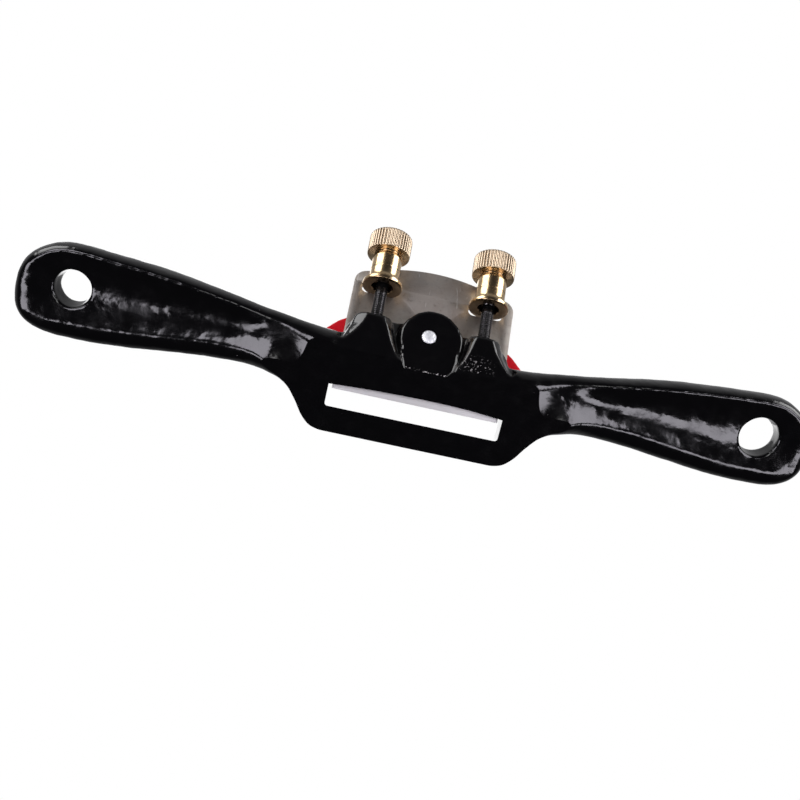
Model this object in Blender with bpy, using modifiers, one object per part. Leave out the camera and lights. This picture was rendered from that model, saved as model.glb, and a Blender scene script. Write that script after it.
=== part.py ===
"""Flat-soled, double-handled metal spokeshave with screw adjustment of its cutting iron.

Frame: the sole lies on z = 0 and faces down, +X runs along the handles, -Y is the toe and +Y the heel. The
origin is on the sole, on the land just behind the middle of the mouth. Everything that lies on the sloping
bed hangs from the empty "bed_datum": its X is the world's, its Y climbs the bed and its Z leaves the bed
towards the lever cap.
"""

import math

import bmesh
import bpy
from mathutils import Matrix, Vector

# Whole tool
OVERALL_LENGTH = 0.254
BED_ANGLE = math.radians(45)
MOUTH_Y = -0.005            # heel edge of the mouth, where the bed meets the sole
GAP = 0.0003                # between pieces that touch
RUNNING_GAP = 0.00018       # between a round piece and its hole
SPARE = 0.0005              # metal that a later cut takes off

# Mouth and central block, with y measured from the mouth's heel edge
MOUTH_HALF_LENGTH = 0.0272
MOUTH_WIDTH = 0.0071
TOE_BAR_HEIGHT = 0.0058
THROAT_LEAN = 0.0022
BED_LENGTH = 0.0249
BED_HALF_WIDTH = 0.0268
BED_CORNER_RADIUS = 0.0080
HEEL_FACE_DEPTH = 0.0086    # from the bed to the lugs' outer face
LUG_TOP = 0.0223            # how far up the bed the lugs reach at their outer face
LUG_TOP_WIDTH = 0.022
THROAT_REACH = 0.030        # how far the space over the bed runs up, past everything
CUT_REACH = 0.040           # from a cutter's face to its far side, well outside the casting
CUT_FROM = 0.004            # how far up the bed the cuts of its heel side start

# Hollows beside the lugs: cones along the heel face, from one (x, up the bed, off the bed) point to another
INNER_HOLLOW_FROM = (0.0078, 0.0068, -0.0090)
INNER_HOLLOW_TO = (0.0121, 0.0285, -0.0093)
INNER_HOLLOW_RADII = (0.0006, 0.0046)
OUTER_HOLLOW_FROM = (0.0285, 0.0070, -0.0112)
OUTER_HOLLOW_TO = (0.0258, 0.0280, -0.0100)
OUTER_HOLLOW_RADII = (0.0030, 0.0062)

# Boss for the lever cap's screw, in bed coordinates
BOSS_RADIUS = 0.0096
BOSS_HALF_WIDTH = 0.0087
BOSS_CENTRE = 0.0185
BOSS_FACE_DEPTH = 0.0068

# Handles
HANDLE_THICKNESS = 0.0084
FLANK_SHARE = 0.42          # a flank takes at most this share of the width where the handle narrows
DISH_DEPTH = 0.0018
TOP_DISH_DEPTH = 0.0011
TIP_ROUNDING = 0.0052
TIP_FLAT = 0.30             # share of the thickness left at the very tip
HANG_HOLE_X = 0.1088
HANG_HOLE_Y = 0.0094
HANG_HOLE_SOLE_RADIUS = 0.0065
HANG_HOLE_TOP_RADIUS = 0.0055
HANG_HOLE_LOW, HANG_HOLE_HIGH = 0.0065, 0.0185

# Cutting iron
IRON_WIDTH = 0.052
IRON_THICKNESS = 0.002
IRON_EDGE = -0.00015        # cutting edge's place up the bed
IRON_SHOULDER = 0.0422
IRON_CROWN = 0.0467
IRON_CORNER_RADIUS = 0.0040
BEVEL_LENGTH = 0.00345
IRON_SLOT_HALF_WIDTH = 0.0030
IRON_SLOT_LOW = 0.0114
IRON_SLOT_HIGH = 0.0256
NUT_SLOT_LENGTH = 0.0112
NUT_SLOT_HEIGHT = 0.0034
NUT_SLOT_CENTRE = 0.0362
CROWN_SHARE = 0.8           # share of the width that the crowned top runs over

# Adjusting studs and nuts
STUD_X = 0.0171
STUD_DEPTH = 0.0045         # stud axis behind the bed
STUD_RADIUS = 0.00195
STUD_LOW = 0.0125
STUD_HIGH = 0.0530
FLANGE_LOW = 0.0348
FLANGE_HIGH = 0.0366
FLARE_HIGH = 0.0377
FLANGE_RADIUS = 0.00635
NECK_RADIUS = 0.0047
HEAD_LOW = 0.0466
HEAD_HIGH = 0.0538
HEAD_RADIUS = 0.00685
HEAD_CHAMFER = 0.0009

# Lever cap and its screws
CAP_UNDERSIDE = 0.0046
CAP_THICKNESS = 0.0040
CAP_PAD_LOW = 0.0046
CAP_PAD_HIGH = 0.0086
CAP_PAD_HALF_WIDTH = 0.0245
CAP_LOWER_CORNER = (0.0233, 0.0066, 0.0020)      # x, up the bed and radius
CAP_NOTCH = [(0.0256, 0.0098), (0.0276, 0.0128), (0.0300, 0.0144)]
CAP_EAR = (0.0304, 0.0176, 0.0029)
CAP_SHOULDER = [(0.0319, 0.0212), (0.0282, 0.0252), (0.0226, 0.0286), (0.0170, 0.0312), (0.0127, 0.0337)]
THUMB_SCREW_UP = 0.0375
CAP_TOP_RADIUS = 0.0095
CAP_SCREW_UP = 0.0195
CAP_SCREW_RADIUS = 0.0025
CAP_SCREW_HEAD_RADIUS = 0.0049
CAP_SCREW_HEAD_HEIGHT = 0.0036
DRIVER_SLOT_WIDTH = 0.0012
DRIVER_SLOT_DEPTH = 0.0015
CAP_RELEASE = 0.0080
KEYHOLE_RADIUS = 0.0055
KEYHOLE_SLOT_HALF_WIDTH = 0.0029
THUMB_BOSS_RADIUS = 0.0060
THUMB_BOSS_TOP = 0.0104
THUMB_SHANK_RADIUS = 0.0024
THUMB_NECK_RADIUS = 0.0042
THUMB_HEAD_RADIUS = 0.0078
THUMB_HEAD_LOW = 0.0138
THUMB_HEAD_HIGH = 0.0200

# Turns of a piece's own frame: its Z up the bed, or its outline's plane across the handles
ALONG_BED = (-math.pi / 2, 0, 0)
ACROSS = Matrix(((0, 0, 1), (1, 0, 0), (0, 1, 0))).to_euler()

# Moulding lines of the casting in millimetres: (x, value) pairs, joined by smooth curves
TOE_LINE = [(0, -16.0), (26.5, -16.0), (30.0, -15.3), (33.4, -12.5), (36.4, -8.0), (39.8, -4.2), (44, -2.2),
            (50, -1.35), (54, -1.4), (62, -2.05), (70, -2.9), (80, -4.3), (90, -5.7), (100, -6.7),
            (107, -6.95), (113, -6.95), (116, -6.65), (119, -6.05), (121, -5.35), (123, -4.2), (125, -2.4),
            (126, -1.0), (126.6, 0.2), (127, 2.0)]
HEEL_LINE = [(0, 15.0), (28, 15.2), (36, 15.8), (44, 16.5), (50, 17.1), (54, 17.7), (62, 18.85), (70, 20.0),
             (80, 21.2), (90, 21.95), (100, 22.6), (107, 22.95), (112, 22.8), (116, 21.9), (119, 20.4),
             (121, 19.1), (123, 17.4), (125, 14.8), (126, 12.6), (126.6, 10.6), (127, 8.2)]
SOLE_TOE_RIDGE = [(0, -1.0), (45, -0.9), (48.5, 0.0), (52, 1.4), (56, 2.6), (62, 3.5), (75, 4.8),
                  (90, 6.1), (106, 7.1), (127, 8.2)]
SOLE_HEEL_RIDGE = [(0, -1.0), (33, -0.9), (36, 0.0), (41, 1.6), (46, 3.0), (50, 3.5), (60, 4.0), (75, 4.9),
                   (90, 6.1), (106, 7.1), (127, 8.2)]
HEEL_INSET = [(0, 3.8), (36, 4.6), (42, 3.4), (50, 2.3), (62, 1.8), (110, 1.8), (120, 2.4), (127, 3.8)]
TOE_INSET = [(0, 1.6), (36, 1.6), (44, 3.6), (52, 5.4), (66, 6.0), (110, 5.8), (120, 5.0), (127, 3.8)]
TOE_TOP = [(0, 6.6), (31, 6.6), (38, 8.2), (50, 10.3), (60, 11.5)]
HEEL_TOP = [(0, 10.0), (36, 10.0), (50, 10.6), (60, 11.5)]
DISH_GROWTH = [(0, 0.0), (41, 0.0), (47, 0.3), (56, 0.85), (75, 1.0), (113, 1.0), (121, 0.25),
               (127, -0.2)]
STATIONS = [0, 13, 25, 28, 30, 31.5, 33, 34.5, 36, 38, 40, 42, 44, 46.5, 48.5, 51, 54, 59, 64, 70, 76, 83, 90,
            97, 104, 109, 113, 116.5, 119.5, 122, 124, 125.4, 126.4, 127]


def make_collection(name):
    collection = bpy.data.collections.new(name)
    bpy.context.scene.collection.children.link(collection)
    return collection


def make_material(name, colour, roughness, metallic):
    material = bpy.data.materials.new(name)
    material.use_nodes = True
    shader = material.node_tree.nodes["Principled BSDF"]
    shader.inputs["Base Color"].default_value = (*colour, 1.0)
    shader.inputs["Roughness"].default_value = roughness
    shader.inputs["Metallic"].default_value = metallic
    return material


def place(obj, collection, parent=None, location=(0, 0, 0), rotation=(0, 0, 0)):
    """Puts an object in a collection at a place, under a parent empty where it has one."""
    collection.objects.link(obj)
    obj.parent = parent
    obj.location = location
    obj.rotation_euler = rotation
    return obj


def mesh_object(name, mesh):
    return bpy.data.objects.new(name, mesh)


def smooth(obj, angle=math.radians(35)):
    obj.data.shade_smooth()
    obj.data.set_sharp_from_angle(angle=angle)


def finish(obj, material):
    obj.data.materials.clear()
    obj.data.materials.append(material)
    smooth(obj)


def bmesh_object(name, build):
    """Makes a mesh object from a function that fills a bmesh."""
    bm = bmesh.new()
    build(bm)
    mesh = bpy.data.meshes.new(name)
    bm.to_mesh(mesh)
    bm.free()
    return mesh_object(name, mesh)


def cylinder(name, radius_low, radius_high, low, high, segments=48):
    """A cylinder or cone about Z from low to high."""
    def build(bm):
        bmesh.ops.create_cone(bm, cap_ends=True, segments=segments, radius1=radius_low, radius2=radius_high,
                              depth=high - low, matrix=Matrix.Translation((0, 0, (low + high) / 2)))
    return bmesh_object(name, build)


def box(name, low, high):
    size = Vector(high) - Vector(low)
    centre = (Vector(high) + Vector(low)) / 2
    def build(bm):
        matrix = Matrix.Translation(centre) @ Matrix.Diagonal((*size, 1.0))
        bmesh.ops.create_cube(bm, size=1.0, matrix=matrix)
    return bmesh_object(name, build)


def plate(name, outlines, low, high):
    """A flat plate with closed (x, y) outlines, the inner ones being holes, between z = low and z = high."""
    curve = bpy.data.curves.new(name, "CURVE")
    curve.dimensions = "2D"
    curve.fill_mode = "BOTH"
    curve.extrude = (high - low) / 2
    for outline in outlines:
        spline = curve.splines.new("POLY")
        spline.points.add(len(outline) - 1)
        for point, (x, y) in zip(spline.points, outline):
            point.co = (x, y, 0, 1)
        spline.use_cyclic_u = True
    source = bpy.data.objects.new(name, curve)
    bpy.context.scene.collection.objects.link(source)
    bpy.context.view_layer.update()
    mesh = bpy.data.meshes.new_from_object(source.evaluated_get(bpy.context.evaluated_depsgraph_get()))
    bpy.data.objects.remove(source)
    mesh.transform(Matrix.Translation((0, 0, (low + high) / 2)))
    bm = bmesh.new()
    bm.from_mesh(mesh)
    bmesh.ops.remove_doubles(bm, verts=bm.verts, dist=1e-6)
    bmesh.ops.recalc_face_normals(bm, faces=bm.faces)
    bm.to_mesh(mesh)
    bm.free()
    return mesh_object(name, mesh)


def turned(name, profile, steps=48):
    """A solid of revolution about Z, from a (radius, z) profile that runs down its outer side.

    The profile starts and ends on the axis, or closes on itself where the piece has a bore.
    """
    closed = profile[0] == profile[-1]
    points = profile[:-1] if closed else profile
    edges = [(i, (i + 1) % len(points)) for i in range(len(profile) - 1)]
    mesh = bpy.data.meshes.new(name)
    mesh.from_pydata([(r, 0, z) for r, z in points], edges, [])
    obj = mesh_object(name, mesh)
    screw = obj.modifiers.new("turn", "SCREW")
    screw.axis = "Z"
    screw.steps = steps
    screw.render_steps = steps
    screw.use_merge_vertices = True
    screw.merge_threshold = 0.00001
    screw.use_smooth_shade = True
    return obj


def arc(centre, radius, start, end, count):
    """Points of a circular arc, angles in degrees."""
    angles = [math.radians(start + (end - start) * i / (count - 1)) for i in range(count)]
    return [(centre[0] + radius * math.cos(a), centre[1] + radius * math.sin(a)) for a in angles]


def slot_outline(centre, length, height, count=9):
    """A round-ended slot along x."""
    reach = (length - height) / 2
    right = arc((centre[0] + reach, centre[1]), height / 2, -90, 90, count)
    left = arc((centre[0] - reach, centre[1]), height / 2, 90, 270, count)
    return right + left


def mirrored(half):
    """Closes an outline from its x > 0 half, given from bottom to top."""
    return half + [(-x, y) for x, y in reversed(half) if x > 1e-9]


def cut(target, cutter, operation="DIFFERENCE"):
    modifier = target.modifiers.new(cutter.name, "BOOLEAN")
    modifier.operation = operation
    modifier.object = cutter
    modifier.solver = "EXACT"


def as_cutter(obj, collection, parent=None, location=(0, 0, 0), rotation=(0, 0, 0)):
    place(obj, collection, parent, location, rotation)
    obj.display_type = "WIRE"
    obj.hide_render = True
    return obj


def smooth_line(points, x):
    """Value at x of the smooth curve through (x, value) pairs, which never overshoots them."""
    slopes = [(b[1] - a[1]) / (b[0] - a[0]) for a, b in zip(points, points[1:])]
    tangents = [slopes[0]] + [
        2 * s * t / (s + t) if s * t > 0 else 0.0 for s, t in zip(slopes, slopes[1:])
    ] + [slopes[-1]]
    if x <= points[0][0]:
        return points[0][1]
    for i, (a, b) in enumerate(zip(points, points[1:])):
        if x <= b[0]:
            h = b[0] - a[0]
            t = (x - a[0]) / h
            return ((1 + 2 * t) * (1 - t) ** 2 * a[1] + t * (1 - t) ** 2 * h * tangents[i]
                    + t * t * (3 - 2 * t) * b[1] + t * t * (t - 1) * h * tangents[i + 1])
    return points[-1][1]


def casting_section(x):
    """Cross-section of the casting at x, as (y, z) points in metres that run round it once."""
    toe, heel = smooth_line(TOE_LINE, x), smooth_line(HEEL_LINE, x)
    thickness = HANDLE_THICKNESS * 1000
    sole_toe, sole_heel = smooth_line(SOLE_TOE_RIDGE, x), smooth_line(SOLE_HEEL_RIDGE, x)
    top_toe, top_heel = smooth_line(TOE_TOP, x), smooth_line(HEEL_TOP, x)
    if x > TOE_TOP[-1][0]:
        top_toe = top_heel = sole_toe + thickness
    rounding = TIP_ROUNDING * 1000
    to_tip = OVERALL_LENGTH * 500 - x
    squeeze = max(TIP_FLAT, math.sqrt(1 - max(0, 1 - to_tip / rounding) ** 2))
    widest = (heel - toe) * FLANK_SHARE
    toe_inset, heel_inset = min(smooth_line(TOE_INSET, x), widest), min(smooth_line(HEEL_INSET, x), widest)
    growth = smooth_line(DISH_GROWTH, x)
    middle_toe, middle_heel = (sole_toe + top_toe) / 2, (sole_heel + top_heel) / 2

    def level(z, middle):
        return middle + (z - middle) * squeeze

    def flank(edge, ridge, middle, z, count=5):
        """A quarter of an ellipse from the flank's widest line to the ridge."""
        angles = [math.pi / 2 * i / count for i in range(count)]
        return [(ridge + (edge - ridge) * math.cos(a), middle + (level(z, middle) - middle) * math.sin(a))
                for a in angles]

    def face(y0, z0, y1, z1, depth, count=8):
        """The dished face between two ridges."""
        points = []
        for i in range(count + 1):
            t = i / count
            hollow = math.sin(math.pi * t) * depth * growth * squeeze
            points.append((y0 + (y1 - y0) * t, z0 + (z1 - z0) * t + hollow))
        return points

    low_toe, low_heel = toe + toe_inset, heel - heel_inset
    points = flank(toe, low_toe, middle_toe, sole_toe)
    points += face(low_toe, level(sole_toe, middle_toe), low_heel, level(sole_heel, middle_heel),
                   DISH_DEPTH * 1000)
    points += list(reversed(flank(heel, low_heel, middle_heel, sole_heel)))
    points += flank(heel, low_heel, middle_heel, top_heel)[1:]
    points += face(low_heel, level(top_heel, middle_heel), low_toe, level(top_toe, middle_toe),
                   -TOP_DISH_DEPTH * 1000)
    points += list(reversed(flank(toe, low_toe, middle_toe, top_toe)[1:]))
    return [(y / 1000 + MOUTH_Y, z / 1000) for y, z in points]


def casting_blank(name):
    """Both handles and the central block in one loft from tip to tip."""
    stations = [-x for x in reversed(STATIONS[1:])] + STATIONS

    def build(bm):
        rings = []
        for x in stations:
            rings.append([bm.verts.new((x / 1000, y, z)) for y, z in casting_section(abs(x))])
        count = len(rings[0])
        for a, b in zip(rings, rings[1:]):
            for i in range(count):
                j = (i + 1) % count
                bm.faces.new((a[i], a[j], b[j], b[i]))
        bm.faces.new(rings[0])
        bm.faces.new(list(reversed(rings[-1])))
        bmesh.ops.triangulate(bm, faces=bm.faces)
        bmesh.ops.recalc_face_normals(bm, faces=bm.faces)

    return bmesh_object(name, build)


def bed_wedge(collection, datum):
    """The sloping bed, from its face back to the lugs' outer face."""
    corner = BED_CORNER_RADIUS
    below_sole = -0.0030
    outline = mirrored([(BED_HALF_WIDTH, below_sole)]
                       + arc((BED_HALF_WIDTH - corner, BED_LENGTH - corner), corner, 0, 90, 7))
    return as_cutter(plate("add_bed", [outline], -HEEL_FACE_DEPTH - SPARE, SPARE), collection, datum)


def throat_cutter(collection):
    """Mouth, throat and the space over the bed: a (y, z) outline run across the mouth's length."""
    above = THROAT_REACH
    below = -0.004
    toe_edge = -MOUTH_WIDTH
    outline = [(toe_edge, below), (below, below), (above, above), (-above, above), (-above, TOE_BAR_HEIGHT),
               (toe_edge - THROAT_LEAN, TOE_BAR_HEIGHT), (toe_edge, 0)]
    cutter = plate("cut_throat", [outline], -MOUTH_HALF_LENGTH, MOUTH_HALF_LENGTH)
    return as_cutter(cutter, collection, None, (0, MOUTH_Y, 0), ACROSS)


def hollow(name, collection, datum, side, low, high, radii):
    """A cone along the heel face between two points on one side, x being away from the middle."""
    start = Vector((side * low[0], *low[1:]))
    direction = Vector((side * high[0], *high[1:])) - start
    cone = cylinder(name, radii[0], radii[1], 0, direction.length, 32)
    turn = direction.to_track_quat("Z", "Y").to_euler()
    return as_cutter(cone, collection, datum, start, turn)


def make_body(parts, tools, datum, material):
    body = place(casting_blank("body"), parts)
    cut(body, bed_wedge(tools, datum), "UNION")
    boss = cylinder("add_boss", BOSS_RADIUS, BOSS_RADIUS, -BOSS_FACE_DEPTH - SPARE, 2 * SPARE, 56)
    cut(body, as_cutter(boss, tools, datum, (0, BOSS_CENTRE, 0)), "UNION")
    cut(body, throat_cutter(tools))

    slope = math.atan2(BED_LENGTH - LUG_TOP, HEEL_FACE_DEPTH)
    inner = BOSS_HALF_WIDTH + GAP
    lug_top = (LUG_TOP_WIDTH, 0.012, 0.001)
    for side, label in ((1, "left"), (-1, "right")):
        start = inner if side > 0 else -inner - LUG_TOP_WIDTH
        above_lug = box(f"cut_lug_top_{label}", (0, 0, -0.014), lug_top)
        cut(body, as_cutter(above_lug, tools, datum, (start, BED_LENGTH + SPARE / 2, 0), (-slope, 0, 0)))
        cut(body, hollow(f"cut_inner_hollow_{label}", tools, datum, side, INNER_HOLLOW_FROM, INNER_HOLLOW_TO,
                         INNER_HOLLOW_RADII))
        cut(body, hollow(f"cut_outer_hollow_{label}", tools, datum, side, OUTER_HOLLOW_FROM, OUTER_HOLLOW_TO,
                         OUTER_HOLLOW_RADII))
        stud_hole = cylinder(f"cut_stud_hole_{label}", STUD_RADIUS + RUNNING_GAP, STUD_RADIUS + RUNNING_GAP,
                             STUD_LOW - GAP, THROAT_REACH, 32)
        cut(body, as_cutter(stud_hole, tools, datum, (side * STUD_X, 0, -STUD_DEPTH), ALONG_BED))
        hang_hole = cylinder(f"cut_hang_hole_{label}", HANG_HOLE_SOLE_RADIUS, HANG_HOLE_TOP_RADIUS,
                             HANG_HOLE_LOW, HANG_HOLE_HIGH, 40)
        cut(body, as_cutter(hang_hole, tools, None, (side * HANG_HOLE_X, HANG_HOLE_Y + MOUTH_Y, 0)))

    boss_face = box("cut_boss_face", (-BOSS_HALF_WIDTH, CUT_FROM, -CUT_REACH),
                    (BOSS_HALF_WIDTH, CUT_REACH, -BOSS_FACE_DEPTH))
    cut(body, as_cutter(boss_face, tools, datum))
    screw_radius = CAP_SCREW_RADIUS + RUNNING_GAP
    screw_hole = cylinder("cut_screw_hole", screw_radius, screw_radius, -2 * BOSS_FACE_DEPTH, 2 * SPARE, 32)
    cut(body, as_cutter(screw_hole, tools, datum, (0, CAP_SCREW_UP, 0)))
    reach = BED_HALF_WIDTH + SPARE
    heel = box("cut_heel", (-reach, -CUT_FROM, -CUT_REACH), (reach, CUT_REACH, -HEEL_FACE_DEPTH))
    cut(body, as_cutter(heel, tools, datum))
    ground = box("cut_ground", (-OVERALL_LENGTH, -CUT_REACH, -CUT_REACH), (OVERALL_LENGTH, CUT_REACH, 0))
    cut(body, as_cutter(ground, tools))
    finish(body, material)


def make_cutting_iron(parts, tools, datum, material):
    half = IRON_WIDTH / 2
    r = IRON_CORNER_RADIUS
    crown_radius = ((half - r) ** 2 + (IRON_CROWN - IRON_SHOULDER) ** 2) / (2 * (IRON_CROWN - IRON_SHOULDER))
    places = [half * CROWN_SHARE * (1 - i / 8) for i in range(9)]
    crown = [(x, IRON_CROWN - x * x / (2 * crown_radius)) for x in places]
    corner = arc((half - r, crown[0][1] - r * 1.12), r, 0, 72, 7)
    outer = mirrored([(half, IRON_EDGE)] + corner + crown)
    middle = (IRON_SLOT_LOW + IRON_SLOT_HIGH) / 2
    long_slot = [(y, x + middle) for x, y in
                 slot_outline((0, 0), IRON_SLOT_HIGH - IRON_SLOT_LOW, 2 * IRON_SLOT_HALF_WIDTH)]
    nut_slots = [slot_outline((side * STUD_X, NUT_SLOT_CENTRE), NUT_SLOT_LENGTH, NUT_SLOT_HEIGHT)
                 for side in (-1, 1)]
    iron = plate("cutting_iron", [outer, long_slot] + nut_slots, GAP, GAP + IRON_THICKNESS)
    place(iron, parts, datum)
    edge = Vector((IRON_EDGE, GAP + IRON_THICKNESS - 0.0001))
    back = Vector((IRON_EDGE + BEVEL_LENGTH, GAP))
    before, beyond = edge + (edge - back) * 0.5, back + (back - edge) * 0.5
    cutter = plate("cut_bevel", [[before, beyond, (before.x, beyond.y)]], -half - 0.002, half + 0.002)
    cut(iron, as_cutter(cutter, tools, datum, (0, 0, 0), ACROSS))
    finish(iron, material)


def make_lever_cap(parts, tools, datum, material):
    low, top = CAP_UNDERSIDE, CAP_UNDERSIDE + CAP_THICKNESS
    half = (arc(CAP_LOWER_CORNER[:2], CAP_LOWER_CORNER[2], -90, 0, 4) + CAP_NOTCH
            + arc(CAP_EAR[:2], CAP_EAR[2], -60, 30, 5) + CAP_SHOULDER
            + arc((0, THUMB_SCREW_UP), CAP_TOP_RADIUS, -12, 90, 10))
    cap = plate("lever_cap", [mirrored(half)], low, top)
    place(cap, parts, datum)
    pad = box("add_cap_pad", (-CAP_PAD_HALF_WIDTH, CAP_PAD_LOW + 0.0001, GAP + IRON_THICKNESS + GAP),
              (CAP_PAD_HALF_WIDTH, CAP_PAD_HIGH, low + SPARE))
    cut(cap, as_cutter(pad, tools, datum), "UNION")
    boss = cylinder("add_thumb_boss", THUMB_BOSS_RADIUS, THUMB_BOSS_RADIUS - 0.0004, low + SPARE,
                    THUMB_BOSS_TOP, 40)
    cut(cap, as_cutter(boss, tools, datum, (0, THUMB_SCREW_UP, 0)), "UNION")
    big = arc((0, CAP_SCREW_UP - CAP_RELEASE), KEYHOLE_RADIUS, 123, 417, 21)
    small = arc((0, CAP_SCREW_UP), KEYHOLE_SLOT_HALF_WIDTH, 0, 180, 9)
    keyhole = plate("cut_keyhole", [big + small], 0, 0.012)
    cut(cap, as_cutter(keyhole, tools, datum))
    radius = THUMB_SHANK_RADIUS + RUNNING_GAP
    hole = cylinder("cut_thumb_hole", radius, radius, 0, 0.014, 32)
    cut(cap, as_cutter(hole, tools, datum, (0, THUMB_SCREW_UP, 0)))
    finish(cap, material)


def make_lever_cap_screw(parts, tools, datum, material):
    low = CAP_UNDERSIDE + CAP_THICKNESS + GAP
    high = low + CAP_SCREW_HEAD_HEIGHT
    edge = 0.0005
    profile = [(0, high), (CAP_SCREW_HEAD_RADIUS - edge, high), (CAP_SCREW_HEAD_RADIUS, high - edge),
               (CAP_SCREW_HEAD_RADIUS, low), (CAP_SCREW_RADIUS, low),
               (CAP_SCREW_RADIUS, -BOSS_FACE_DEPTH + 0.0004),
               (CAP_SCREW_RADIUS - 0.0003, -BOSS_FACE_DEPTH), (0, -BOSS_FACE_DEPTH)]
    screw = place(turned("lever_cap_screw", profile, 40), parts, datum, (0, CAP_SCREW_UP, 0))
    reach = CAP_SCREW_HEAD_RADIUS + SPARE
    slot = box("cut_driver_slot", (-reach, -DRIVER_SLOT_WIDTH / 2, high - DRIVER_SLOT_DEPTH),
               (reach, DRIVER_SLOT_WIDTH / 2, high + SPARE))
    cut(screw, as_cutter(slot, tools, datum, (0, CAP_SCREW_UP, 0)))
    finish(screw, material)


def make_thumb_screw(parts, tools, datum, material):
    tip = GAP + IRON_THICKNESS + GAP
    edge = 0.0008
    r = THUMB_HEAD_RADIUS
    profile = [(0, THUMB_HEAD_HIGH + 0.0004), (r - 2 * edge, THUMB_HEAD_HIGH), (r, THUMB_HEAD_HIGH - edge),
               (r, THUMB_HEAD_LOW + edge), (r - edge, THUMB_HEAD_LOW), (THUMB_NECK_RADIUS, THUMB_HEAD_LOW),
               (THUMB_NECK_RADIUS, THUMB_BOSS_TOP + GAP), (THUMB_SHANK_RADIUS, THUMB_BOSS_TOP + GAP),
               (THUMB_SHANK_RADIUS, tip + 0.0006), (THUMB_SHANK_RADIUS - 0.0008, tip), (0, tip)]
    screw = place(turned("thumb_screw", profile), parts, datum, (0, THUMB_SCREW_UP, 0))
    finish(screw, material)


def make_adjusters(parts, tools, datum, steel, brass):
    """Both studs in their lugs, and the nuts that carry the iron up and down on them."""
    bore = STUD_RADIUS + RUNNING_GAP
    end = 0.0005
    stud_profile = [(0, STUD_HIGH), (STUD_RADIUS - end, STUD_HIGH), (STUD_RADIUS, STUD_HIGH - end),
                    (STUD_RADIUS, STUD_LOW), (0, STUD_LOW)]
    nut_profile = [(bore, HEAD_HIGH), (HEAD_RADIUS - 2 * HEAD_CHAMFER, HEAD_HIGH),
                   (HEAD_RADIUS - 0.5 * HEAD_CHAMFER, HEAD_HIGH - 0.5 * HEAD_CHAMFER),
                   (HEAD_RADIUS, HEAD_HIGH - 1.5 * HEAD_CHAMFER),
                   (HEAD_RADIUS, HEAD_LOW + 0.0003), (HEAD_RADIUS - 0.0003, HEAD_LOW),
                   (NECK_RADIUS, HEAD_LOW), (NECK_RADIUS, FLARE_HIGH),
                   (FLANGE_RADIUS, FLANGE_HIGH), (FLANGE_RADIUS, FLANGE_LOW + 0.0002),
                   (FLANGE_RADIUS - 0.0002, FLANGE_LOW), (bore + 0.0009, FLANGE_LOW),
                   (bore, FLANGE_LOW + 0.0009), (bore, HEAD_HIGH)]
    for side, label in ((1, "left"), (-1, "right")):
        spot = (side * STUD_X, 0, -STUD_DEPTH)
        stud = place(turned(f"{label}_adjusting_stud", stud_profile, 28), parts, datum, spot, ALONG_BED)
        finish(stud, steel)
        nut = place(turned(f"{label}_adjusting_nut", nut_profile), parts, datum, spot, ALONG_BED)
        finish(nut, brass)


def main():
    for obj in list(bpy.data.objects):
        bpy.data.objects.remove(obj, do_unlink=True)
    parts = make_collection("spokeshave")
    tools = make_collection("cutters")
    datum = place(bpy.data.objects.new("bed_datum", None), parts, None, (0, MOUTH_Y, 0), (BED_ANGLE, 0, 0))
    black_paint = make_material("black_paint", (0.012, 0.011, 0.012), 0.22, 0.0)
    iron_steel = make_material("iron_steel", (0.42, 0.40, 0.39), 0.34, 1.0)
    red_paint = make_material("red_paint", (0.55, 0.015, 0.03), 0.25, 0.0)
    brass = make_material("brass", (0.83, 0.62, 0.33), 0.25, 1.0)
    black_steel = make_material("black_steel", (0.03, 0.03, 0.032), 0.4, 0.8)
    bright_steel = make_material("bright_steel", (0.78, 0.78, 0.80), 0.28, 1.0)
    make_body(parts, tools, datum, black_paint)
    make_cutting_iron(parts, tools, datum, iron_steel)
    make_lever_cap(parts, tools, datum, red_paint)
    make_lever_cap_screw(parts, tools, datum, bright_steel)
    make_thumb_screw(parts, tools, datum, brass)
    make_adjusters(parts, tools, datum, black_steel, brass)


main()
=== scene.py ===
"""Studio scene of the spokeshave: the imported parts, detailed pieces that stand for them, light and camera.

Lengths are in millimetres, except those of the camera, the lights and the floor's fade, which are in
metres. Bed coordinates, used by everything on the sloping bed, are x along the handles, "up" the bed and
"off" it towards the lever cap, all from the middle of the mouth's heel edge. Side 1 is the left handle's
(+X) and side -1 the right one's.
"""

import math

import bmesh
import bpy
import numpy as np
from mathutils import Matrix, Vector, noise


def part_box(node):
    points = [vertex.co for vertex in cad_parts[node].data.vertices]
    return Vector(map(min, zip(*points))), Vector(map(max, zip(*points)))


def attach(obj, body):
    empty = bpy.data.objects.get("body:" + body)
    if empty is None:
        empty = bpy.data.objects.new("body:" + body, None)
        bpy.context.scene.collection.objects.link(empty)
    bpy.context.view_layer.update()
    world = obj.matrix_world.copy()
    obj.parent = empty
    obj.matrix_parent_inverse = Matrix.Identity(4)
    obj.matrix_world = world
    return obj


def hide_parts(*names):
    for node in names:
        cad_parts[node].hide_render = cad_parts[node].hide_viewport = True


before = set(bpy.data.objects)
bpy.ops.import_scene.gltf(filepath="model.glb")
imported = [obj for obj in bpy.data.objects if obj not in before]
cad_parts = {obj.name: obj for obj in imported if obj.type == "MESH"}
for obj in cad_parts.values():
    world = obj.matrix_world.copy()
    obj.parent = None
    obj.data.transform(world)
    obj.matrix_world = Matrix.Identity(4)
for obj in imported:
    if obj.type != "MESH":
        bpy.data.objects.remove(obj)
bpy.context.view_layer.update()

MM = 0.001
MOUTH_Y = -5.0              # the mouth's heel edge
UP = Vector((0, math.sqrt(0.5), math.sqrt(0.5)))
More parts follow.
